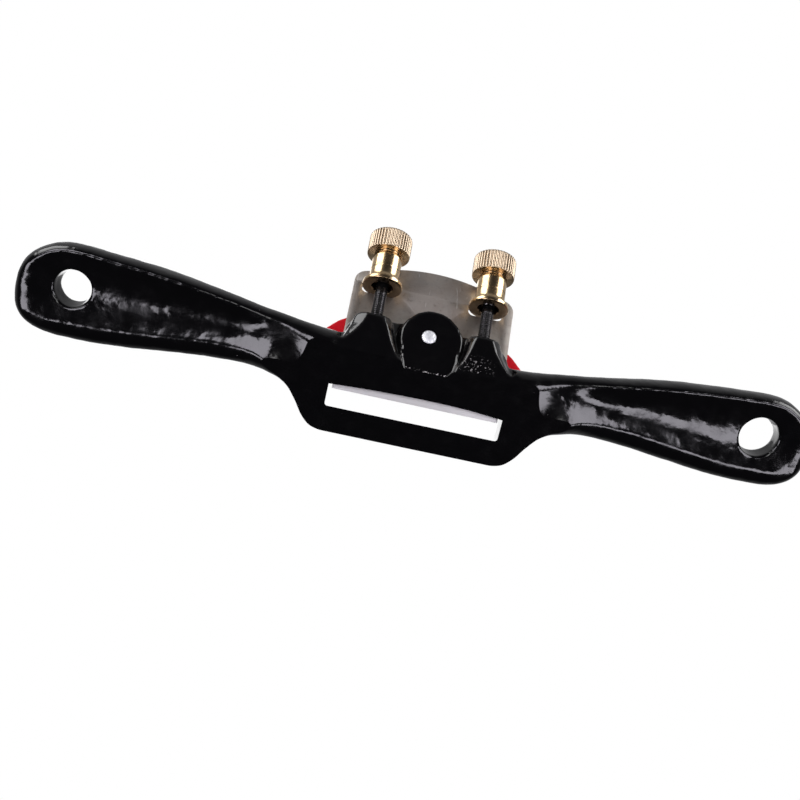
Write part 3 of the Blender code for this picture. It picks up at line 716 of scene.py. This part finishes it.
def make_floor():
    """A pale floor under the tool, clear from below and far out, that blocks none of the light."""
    corners = [(x * FLOOR_HALF, y * FLOOR_HALF, 0) for x, y in ((-1, -1), (1, -1), (1, 1), (-1, 1))]
    floor = new_object("floor", corners, [(0, 1, 2, 3)])
    material = bpy.data.materials.new("floor")
    material.use_nodes = True
    tree = material.node_tree
    shader = tree.nodes["Principled BSDF"]
    shader.inputs["Base Color"].default_value = (0.86, 0.86, 0.87, 1)
    shader.inputs["Roughness"].default_value = 0.9
    shader.inputs["Specular IOR Level"].default_value = 0
    clear = tree.nodes.new("ShaderNodeBsdfTransparent")
    side = tree.nodes.new("ShaderNodeNewGeometry")
    coords = tree.nodes.new("ShaderNodeTexCoord")
    distance = tree.nodes.new("ShaderNodeVectorMath")
    distance.operation = "LENGTH"
    fade = tree.nodes.new("ShaderNodeMapRange")
    fade.interpolation_type = "SMOOTHSTEP"
    fade.inputs["From Min"].default_value, fade.inputs["From Max"].default_value = FLOOR_FADE
    either = tree.nodes.new("ShaderNodeMath")
    either.operation = "MAXIMUM"
    mix = tree.nodes.new("ShaderNodeMixShader")
    tree.links.new(coords.outputs["Object"], distance.inputs[0])
    tree.links.new(distance.outputs["Value"], fade.inputs["Value"])
    tree.links.new(fade.outputs["Result"], either.inputs[0])
    tree.links.new(side.outputs["Backfacing"], either.inputs[1])
    tree.links.new(either.outputs[0], mix.inputs["Fac"])
    tree.links.new(shader.outputs[0], mix.inputs[1])
    tree.links.new(clear.outputs[0], mix.inputs[2])
    tree.links.new(mix.outputs[0], tree.nodes["Material Output"].inputs["Surface"])
    floor.data.materials.append(material)
    floor.visible_shadow = False
    floor.visible_glossy = False
    floor.visible_diffuse = False


# ---------------------------------------------------------------- nuts, studs, screws

KNURL_RUN_OUT = 0.35
KNURL_SHARPNESS = 0.7
NUT_SEATS = {1: -0.4, -1: 0.1}      # how far up its stud each nut is moved
NUT_KNURL = (46.7, 53.7, 0.40, 40, 5.5)
THUMB_KNURL = (14.0, 19.7, 0.42, 48, 7.0)
THREAD_PITCH, THREAD_DEPTH, THREAD_STEPS = 0.7, 0.42, 8
STUD_RADIUS = 1.95
STUD_FOOT, THREAD_START, THREAD_END, STUD_TOP = 12.5, 12.9, 52.6, 53.0
STUD_PLAIN_FROM, STUD_PLAIN_TO = {1: 31.0, -1: 32.6}, 36.0
THREAD_RUN_OUT = 0.5
CAP_SCREW_TOP = 12.5
DRIVER_SLOT_WIDTH, DRIVER_SLOT_DEPTH = 1.2, 1.5


def knurl(z, low, high, depth, count, angle):
    """How deep a straight knurl cuts at a height and an angle; it runs out towards low and high."""
    reach = min(1.0, max(0.0, min(z - low, high - z) / KNURL_RUN_OUT))
    tooth = abs(math.sin(count * angle / 2)) ** KNURL_SHARPNESS
    return depth * reach * (1 - tooth)


def turned_piece(name, profile, columns, knurls=()):
    """A turned piece with straight knurls, each (low, high, depth, count, least radius)."""
    def shape(z, angle, r):
        for low, high, depth, count, least in knurls:
            if low <= z <= high and r >= least:
                r -= knurl(z, low, high, depth, count, angle)
        return r
    return revolve(name, profile, columns, shape)


def rows(r, low, high, count):
    """Evenly spaced points of a profile along a cylinder."""
    return [(r, low + (high - low) * i / count) for i in range(count + 1)]


def radius_and_height(obj):
    """Each vertex's distance from Z and height, in millimetres."""
    points = coordinates(obj) / MM
    return np.hypot(points[:, 0], points[:, 1]), points[:, 2]


def make_nut(side):
    """An adjusting nut: flange with a wide counterbore below, turned neck and knurled head; painted shade
    darkens its undersides.
    """
    bore = [(2.15, 38.4), (2.2, 37.6), (3.2, 37.2), (3.25, 35.2), (3.5, 34.85)]
    flange = [(3.9, 34.8), (6.05, 34.8), (6.26, 34.88), (6.35, 35.1), (6.35, 35.9), (6.27, 36.15),
              (6.05, 36.3), (5.3, 36.5), (5.05, 36.8), (4.92, 37.3)]
    neck = [(4.8, 37.6), (4.72, 38.2), (4.69, 40.5), (4.58, 40.62), (4.58, 40.74), (4.69, 40.86),
            (4.7, 44.9), (4.66, 45.5), (4.45, 45.8), (4.4, 46.1), (4.5, 46.45), (4.9, 46.55)]
    head = [(6.3, 46.6), (6.7, 46.68), (6.82, 46.85)] + rows(6.85, 47.1, 52.6, 14)
    head += [(6.8, 53.0), (6.6, 53.35), (6.2, 53.6), (5.6, 53.75), (4.9, 53.8), (3.1, 53.8), (2.6, 53.6),
             (2.15, 53.1), (2.15, 38.4)]
    nut = turned_piece(f"adjusting_nut_{side}", bore + flange + neck + head, 320, [NUT_KNURL])
    radius, height = radius_and_height(nut)
    # Painted shade: the dull mask darkens the counterbore and the faces under the flange and the head, where
    # their own shadow falls
    counterbore = (1 - ramp(radius, 3.3, 3.9)) * (1 - ramp(height, 38.6, 39.2))
    below_flange = 0.85 * (1 - ramp(height, 34.82, 34.95))
    below_head = 0.45 * band(height, (46.2, 46.5), (46.7, 46.85))
    paint(nut, "knurled", ramp(radius, 5.2, 6.2) * ramp(height, 46.65, 46.9))
    paint(nut, "dull", np.maximum(np.maximum(counterbore, below_flange), below_head))
    on_bed(nut, x=side * STUD_X, up=NUT_SEATS[side], off=STUD_OFF, along=True)
    shade(nut, 32)
    return nut


def make_stud(side):
    """An oxide-black stud with a thread, plain where the nut's skirt covers it at rest."""
    plain_from = STUD_PLAIN_FROM[side]
    profile = [(0.05, STUD_FOOT), (1.2, STUD_FOOT)]
    z = THREAD_START
    while z < THREAD_END:
        profile.append((STUD_RADIUS, z))
        z += THREAD_PITCH / THREAD_STEPS
    profile += [(1.5, 52.9), (1.1, STUD_TOP), (0.05, STUD_TOP)]

    def shape(z, angle, r):
        if r < STUD_RADIUS:
            return r
        turn = z / THREAD_PITCH - side * 0.2 - angle / (2 * math.pi)
        into = min(1, max(0, (z - plain_from) / THREAD_RUN_OUT))
        out_of = min(1, max(0, (STUD_PLAIN_TO - z) / THREAD_RUN_OUT))
        return r - THREAD_DEPTH * (1 - into * out_of) * (0.5 + 0.5 * math.cos(2 * math.pi * turn))

    stud = revolve(f"adjusting_stud_{side}", profile, 40, shape)
    radius, height = radius_and_height(stud)
    plain = band(height, (plain_from, plain_from + THREAD_RUN_OUT),
                 (STUD_PLAIN_TO - THREAD_RUN_OUT, STUD_PLAIN_TO))
    # Painted highlight: the thread's crests are marked to be coloured lighter than the oxide
    paint(stud, "crest_highlight", ramp(radius, 1.68, 1.92) * (1 - plain))
    on_bed(stud, x=side * STUD_X, off=STUD_OFF, along=True)
    shade(stud, 40)
    return stud


def make_cap_screw():
    """Cheese head with a driver slot on the cap's side; its threaded end shows in the boss."""
    profile = [(0.02, -7.15), (0.7, -7.12), (1.3, -7.02), (1.8, -6.87), (2.2, -6.65), (2.35, -6.4)]
    profile += rows(2.35, -5.8, 8.6, 40)
    profile += [(2.5, 8.9), (4.6, 8.9), (4.82, 8.98), (4.9, 9.2), (4.9, 11.7), (4.78, 12.1), (4.4, 12.38),
                (3.6, 12.47), (2.0, CAP_SCREW_TOP), (0.02, CAP_SCREW_TOP)]
    screw = turned_piece("cap_screw_piece", profile, 96)
    on_bed(screw, up=CAP_SCREW_UP)
    half = DRIVER_SLOT_WIDTH / 2
    combine(screw, block("driver_slot", (-6, CAP_SCREW_UP - half, CAP_SCREW_TOP - DRIVER_SLOT_DEPTH),
                         (6, CAP_SCREW_UP + half, CAP_SCREW_TOP + 1), BED))
    bevel(screw, 0.12, 40)
    shade(screw, 35)
    return screw


def make_thumb_screw():
    """A plain end that bears on the iron, a collar, and a knurled head dished on top."""
    profile = [(0.02, 2.6), (1.4, 2.62), (1.7, 2.8), (2.35, 3.4)]
    profile += rows(2.4, 3.6, 10.4, 24)
    profile += [(2.4, 10.7), (3.9, 10.7), (4.15, 10.85), (4.2, 11.2), (4.2, 13.0), (4.4, 13.5),
                (4.9, 13.75), (6.9, 13.8), (7.35, 13.95), (7.6, 14.3)]
    profile += rows(7.8, 14.7, 19.0, 10)
    profile += [(7.65, 19.4), (7.2, 19.8), (6.6, 19.98), (6.0, 20.0), (5.5, 19.8), (5.0, 19.5), (3.5, 19.3),
                (1.5, 19.35), (0.02, 19.4)]
    screw = turned_piece("thumb_screw_piece", profile, 288, [THUMB_KNURL])
    on_bed(screw, up=THUMB_UP)
    shade(screw, 32)
    return screw


# ---------------------------------------------------------------- iron and lever cap

IRON_HALF = round(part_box("cutting_iron")[1].x / MM, 1)
IRON_CORNER, IRON_SHOULDER, IRON_CROWN = 4.0, 42.2, 46.7
IRON_LOW, IRON_HIGH = 0.3, 2.3
IRON_EDGE, BEVEL_END = (-0.15, 2.2), (3.3, IRON_LOW)    # (up, off)
FEED_SLOT_UP, FEED_SLOT_LENGTH, FEED_SLOT_WIDTH = 36.2, 11.2, 3.4
FEED_SLOTS_X = (-STUD_X, STUD_X + 0.6)
SCREW_SLOT_UP, SCREW_SLOT_LENGTH, SCREW_SLOT_WIDTH = 18.5, 14.2, 6.0
CAP_LOW, CAP_HIGH = 4.6, 8.6
CAP_TOP_RADIUS = 9.5
CAP_VOXEL = 0.34
PAD_LOW = 2.6
KEYHOLE_UP, KEYHOLE_RADIUS, KEYHOLE_NECK = 11.5, 5.5, 2.9


def iron_outline():
    """Straight edge and sides, round shoulders, and a top with a slight crown."""
    rise, run = IRON_CROWN - IRON_SHOULDER, IRON_HALF - IRON_CORNER
    radius = (run ** 2 + rise ** 2) / (2 * rise)
    xs = [IRON_HALF * 0.8 * (1 - i / 24) for i in range(25)]
    crown = [(x, IRON_CROWN - x * x / (2 * radius)) for x in xs]
    corner = arc((run, crown[0][1] - IRON_CORNER * 1.12), IRON_CORNER, 0, 72, 14)
    return mirrored([(IRON_HALF, IRON_EDGE[0])] + corner + crown)


def bevel_cutter():
    """A wedge below the bevel, which runs from the cutting edge to the iron's lower face."""
    edge, end = Vector(IRON_EDGE), Vector(BEVEL_END)
    before, beyond = edge + (edge - end) * 0.5, end + (end - edge) * 0.5
    section = (before, beyond, Vector((before.x, beyond.y)))
    cutter = loft("bevel_cut", [[(x, p.x, p.y) for p in section] for x in (-IRON_HALF - 2, IRON_HALF + 2)])
    cutter.data.transform(BED)
    return cutter


def make_iron():
    iron = prism("cutting_iron_piece", iron_outline(), IRON_LOW, IRON_HIGH, matrix=BED)
    slots = [slot_outline((x, FEED_SLOT_UP), FEED_SLOT_LENGTH, FEED_SLOT_WIDTH, 25) for x in FEED_SLOTS_X]
    lying = slot_outline((0, 0), SCREW_SLOT_LENGTH, SCREW_SLOT_WIDTH, 25)
    slots.append([(y, x + SCREW_SLOT_UP) for x, y in lying])
    for outline in slots:
        combine(iron, prism("slot", outline, -1, 4, matrix=BED))
    combine(iron, bevel_cutter())
    bevel(iron, 0.22, 50)
    shade(iron, 25)
    return iron


def cap_outline():
    """Straight lower edge, a rounded ear on each side, and shoulders that rise to the round top."""
    half = arc((23.3, 6.6), 2.0, -90, 0, 8) + [(25.6, 9.8), (27.6, 12.8), (30.0, 14.4)]
    half += arc((30.4, 17.6), 2.9, -60, 30, 10)
    half += [(31.9, 21.2), (28.2, 25.2), (22.6, 28.6), (17.0, 31.2), (12.7, 33.7)]
    half += arc((0, THUMB_UP), CAP_TOP_RADIUS, -12, 90, 24)
    return rounded(mirrored(half), 1.2, 4)


def make_lever_cap():
    """The cap with the pad that holds the iron, the thumb screw's boss and the keyhole."""
    cap = prism("lever_cap_piece", cap_outline(), CAP_LOW, CAP_HIGH, matrix=BED)
    combine(cap, block("pad", (-24.5, 4.7, PAD_LOW), (24.5, CAP_HIGH, 6.0), BED), "UNION")
    foot, face = (circle((0, THUMB_UP), radius, 64) for radius in (6.0, 5.6))
    combine(cap, prism("thumb_boss", foot, 5.1, 10.4, face, BED), "UNION")
    keyhole = arc((0, KEYHOLE_UP), KEYHOLE_RADIUS, 123, 417, 48)
    keyhole += arc((0, CAP_SCREW_UP), KEYHOLE_NECK, 0, 180, 24)
    combine(cap, prism("keyhole", keyhole, 0, 12, matrix=BED))
    combine(cap, prism("thumb_hole", circle((0, THUMB_UP), 2.58, 48), 0, 14, matrix=BED))
    remesh(cap, CAP_VOXEL)
    relax(cap, 8, lambda points: np.full(len(points), 0.8))
    shade(cap, 50)
    return cap


# ---------------------------------------------------------------- materials

class Look:
    """A Principled material and the few nodes its detail is made of."""

    def __init__(self, name, colour, roughness, metallic):
        self.material = bpy.data.materials.new(name)
        self.material.use_nodes = True
        self.tree = self.material.node_tree
        self.shader = self.tree.nodes["Principled BSDF"]
        self.shader.inputs["Base Color"].default_value = (*colour, 1)
        self.shader.inputs["Roughness"].default_value = roughness
        self.shader.inputs["Metallic"].default_value = metallic
        self.coords = self.tree.nodes.new("ShaderNodeTexCoord").outputs["Object"]

    def link(self, source, target):
        self.tree.links.new(source, target)

    def mapped(self, scale=(1, 1, 1), on_bed=False):
        """Object coordinates, or the bed's (x, up, off), stretched."""
        mapping = self.tree.nodes.new("ShaderNodeMapping")
        mapping.inputs["Scale"].default_value = scale
        source = self.coords
        if on_bed:
            turn = self.tree.nodes.new("ShaderNodeMapping")
            turn.inputs["Location"].default_value = (0, -MOUTH_Y * MM * UP.y, MOUTH_Y * MM * UP.y)
            turn.inputs["Rotation"].default_value = (-math.pi / 4, 0, 0)
            self.link(source, turn.inputs["Vector"])
            source = turn.outputs["Vector"]
        self.link(source, mapping.inputs["Vector"])
        return mapping.outputs["Vector"]

    def noise(self, vector, scale, detail=2.0, rough=0.5, distortion=0.0):
        made = self.tree.nodes.new("ShaderNodeTexNoise")
        made.inputs["Scale"].default_value = scale
        made.inputs["Detail"].default_value = detail
        made.inputs["Roughness"].default_value = rough
        made.inputs["Distortion"].default_value = distortion
        self.link(vector, made.inputs["Vector"])
        return made.outputs["Fac"]

    def cells(self, vector, scale):
        """Distance to the nearest of many scattered points."""
        made = self.tree.nodes.new("ShaderNodeTexVoronoi")
        made.inputs["Scale"].default_value = scale
        self.link(vector, made.inputs["Vector"])
        return made.outputs["Distance"]

    def range(self, value, low, high, to_low=0.0, to_high=1.0):
        """Carries low..high over to to_low..to_high, and no further."""
        made = self.tree.nodes.new("ShaderNodeMapRange")
        names = ("From Min", "From Max", "To Min", "To Max")
        for name, number in zip(names, (low, high, to_low, to_high)):
            made.inputs[name].default_value = number
        self.link(value, made.inputs["Value"])
        return made.outputs["Result"]

    def attribute(self, name):
        """What paint() gave the vertices."""
        made = self.tree.nodes.new("ShaderNodeAttribute")
        made.attribute_name = name
        return made.outputs["Fac"]

    def part(self, vector, axis):
        """One coordinate of a vector."""
        split = self.tree.nodes.new("ShaderNodeSeparateXYZ")
        self.link(vector, split.inputs[0])
        return split.outputs[axis]

    def math(self, operation, a, b):
        made = self.tree.nodes.new("ShaderNodeMath")
        made.operation = operation
        for socket, value in zip(made.inputs, (a, b)):
            if isinstance(value, (int, float)):
                socket.default_value = value
            else:
                self.link(value, socket)
        return made.outputs[0]

    def blend(self, factor, a, b):
        """A colour from a to b; each is a colour or a socket."""
        made = self.tree.nodes.new("ShaderNodeMix")
        made.data_type = "RGBA"
        self.link(factor, made.inputs["Factor"])
        for name, value in (("A", a), ("B", b)):
            socket = [s for s in made.inputs if s.name == name and s.type == "RGBA"][0]
            if isinstance(value, tuple):
                socket.default_value = (*value, 1)
            else:
                self.link(value, socket)
        return [s for s in made.outputs if s.type == "RGBA"][0]

    def bumps(self, *heights):
        """Bump layers, each (height, distance in millimetres, strength)."""
        normal = None
        for height, distance, strength in heights:
            made = self.tree.nodes.new("ShaderNodeBump")
            made.inputs["Distance"].default_value = distance * MM
            made.inputs["Strength"].default_value = strength
            self.link(height, made.inputs["Height"])
            if normal:
                self.link(normal, made.inputs["Normal"])
            normal = made.outputs["Normal"]
        self.link(normal, self.shader.inputs["Normal"])

    def colour(self, socket):
        self.link(socket, self.shader.inputs["Base Color"])

    def roughness(self, socket):
        self.link(socket, self.shader.inputs["Roughness"])


BLACK = (0.0018, 0.0017, 0.002)
# Pale grey of iron where the paint is worn off, also used for painted glints
BARE_IRON_AND_GLINTS = (0.42, 0.40, 0.40)


def black_enamel():
    """Glossy black paint over an uneven casting, worn off in small specks here and there, with painted
    glints.
    """
    look = Look("black_enamel", BLACK, 0.14, 0.0)
    here = look.mapped()
    peel = look.noise(here, 620, 2, 0.5)
    cast = look.noise(here, 210, 2, 0.55)
    dust = look.noise(here, 2600, 2, 0.6)
    look.bumps((cast, 0.25, 0.25), (peel, 0.10, 0.45), (dust, 0.01, 0.3))
    look.roughness(look.range(cast, 0.3, 0.7, 0.08, 0.2))
    chips = look.cells(here, 420)
    patches = look.noise(here, 60, 2)
    bare_and_glints = look.math("MULTIPLY", look.range(chips, 0.035, 0.02), look.range(patches, 0.60, 0.64))
    # Painted highlight: where the speck mask is set, these specks take the pale colour as glints
    specks = look.range(look.noise(here, 1300, 2, 0.6), 0.60, 0.66)
    bare_and_glints = look.math("MAXIMUM", bare_and_glints, look.math("MULTIPLY", specks, look.attribute("specks_and_glints")))
    look.colour(look.blend(bare_and_glints, BLACK, BARE_IRON_AND_GLINTS))
    return look.material


def brass():
    """Turned brass with fine rings, a little tarnish, a paler, rougher knurl and painted shade on the
    undersides.
    """
    look = Look("brass", (0.83, 0.63, 0.33), 0.2, 1.0)
    bed = look.mapped(on_bed=True)
    rings = look.noise(look.mapped((60, 4200, 60), on_bed=True), 1.0, 2)
    tarnish = look.noise(bed, 300, 3, 0.6)
    knurled = look.attribute("knurled")
    turned = look.blend(look.range(tarnish, 0.35, 0.75), (0.74, 0.56, 0.34), (0.46, 0.31, 0.16))
    clean = look.blend(knurled, turned, (0.53, 0.42, 0.31))
    # Painted shade: near-black brown in the counterbore and under the flange and the head, where the dull
    # mask is set
    look.colour(look.blend(look.attribute("dull"), clean, (0.05, 0.032, 0.02)))
    polish = look.range(tarnish, 0.3, 0.8, 0.15, 0.30)
    look.roughness(look.math("ADD", polish, look.range(knurled, 0, 1, 0, 0.16)))
    look.bumps((rings, 0.02, 0.35))
    return look.material


def black_oxide():
    """Blackened steel, painted lighter on the crests of the thread as a highlight."""
    look = Look("black_oxide", (0.03, 0.03, 0.032), 0.3, 0.9)
    grain = look.noise(look.mapped(), 1500, 2)
    oxide = look.blend(look.range(grain, 0.45, 0.75), (0.022, 0.022, 0.024), (0.06, 0.058, 0.058))
    # Painted highlight: the crests take a pale grey instead of the oxide's colour
    look.colour(look.blend(look.attribute("crest_highlight"), oxide, (0.16, 0.155, 0.155)))
    look.roughness(look.range(grain, 0.3, 0.7, 0.16, 0.28))
    look.bumps((grain, 0.006, 0.3))
    return look.material


def ground_steel():
    """Grey tool steel with lengthwise grinding lines, stains, a few scratches and a bright ground bevel."""
    look = Look("ground_steel", (0.36, 0.33, 0.31), 0.34, 1.0)
    bed = look.mapped(on_bed=True)
    lines = look.noise(look.mapped((5200, 90, 90), on_bed=True), 1.0, 3, 0.6)
    stains = look.noise(bed, 95, 4, 0.62, 0.6)
    spots = look.noise(bed, 900, 2, 0.6)
    scratches = look.noise(look.mapped((420, 35, 35), on_bed=True), 1.0, 2, 0.5, 2.5)
    scratch = look.range(scratches, 0.68, 0.71)
    plain = look.blend(look.range(stains, 0.35, 0.70), (0.50, 0.465, 0.43), (0.32, 0.275, 0.24))
    plain = look.blend(look.range(spots, 0.60, 0.78, 0.0, 0.45), plain, (0.12, 0.10, 0.085))
    plain = look.blend(scratch, plain, (0.66, 0.64, 0.62))
    bright = look.range(look.part(bed, "Y"), 3.45 * MM, 3.2 * MM)
    look.colour(look.blend(bright, plain, (0.62, 0.61, 0.61)))
    dull = look.range(stains, 0.3, 0.7, 0.42, 0.56)
    look.roughness(look.math("ADD", dull, look.range(bright, 0, 1, 0, 0.12)))
    look.bumps((lines, 0.03, 0.30), (spots, 0.03, 0.25))
    return look.material


def red_enamel():
    """Red paint under a thin clear coat, with a slight orange peel."""
    look = Look("red_enamel", (0.60, 0.012, 0.022), 0.16, 0.0)
    here = look.mapped()
    peel = look.noise(here, 520, 2)
    tone = look.noise(here, 90, 2)
    look.shader.inputs["Coat Weight"].default_value = 0.5
    look.shader.inputs["Coat Roughness"].default_value = 0.06
    look.colour(look.blend(look.range(tone, 0.3, 0.7), (0.66, 0.012, 0.022), (0.52, 0.010, 0.018)))
    look.roughness(look.range(peel, 0.3, 0.7, 0.13, 0.26))
    look.bumps((peel, 0.15, 0.3))
    return look.material


def zinc():
    """Zinc-plated steel, blotchy."""
    look = Look("zinc", (0.80, 0.81, 0.83), 0.4, 0.45)
    here = look.mapped()
    blotch = look.noise(here, 900, 3, 0.6)
    look.colour(look.blend(look.range(blotch, 0.35, 0.7), (0.86, 0.87, 0.89), (0.50, 0.51, 0.54)))
    look.roughness(look.range(blotch, 0.3, 0.7, 0.30, 0.5))
    look.bumps((blotch, 0.35, 0.8))
    return look.material


def dress(obj, material, body, slot, *replaced):
    """Gives a piece its material and the body it rides on, and hides the imported nodes it stands for. The
    slot's name is not used.
    """
    obj.data.materials.clear()
    obj.data.materials.append(material)
    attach(obj, body)
    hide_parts(*replaced)


make_camera()
make_world()
make_floor()
for row in SOFTBOXES:
    softbox(*row)

dress(make_body(), black_enamel(), "body", "black_paint", "body")
brass_look, oxide = brass(), black_oxide()
for side, label in ((1, "left"), (-1, "right")):
    dress(make_nut(side), brass_look, f"{label}_adjusting_nut", "brass", f"{label}_adjusting_nut")
    dress(make_stud(side), oxide, "body", "black_steel", f"{label}_adjusting_stud")
dress(make_iron(), ground_steel(), "cutting_iron", "iron_steel", "cutting_iron")
dress(make_lever_cap(), red_enamel(), "lever_cap", "red_paint", "lever_cap")
dress(make_cap_screw(), zinc(), "lever_cap_screw", "bright_steel", "lever_cap_screw")
dress(make_thumb_screw(), brass_look, "thumb_screw", "brass", "thumb_screw")
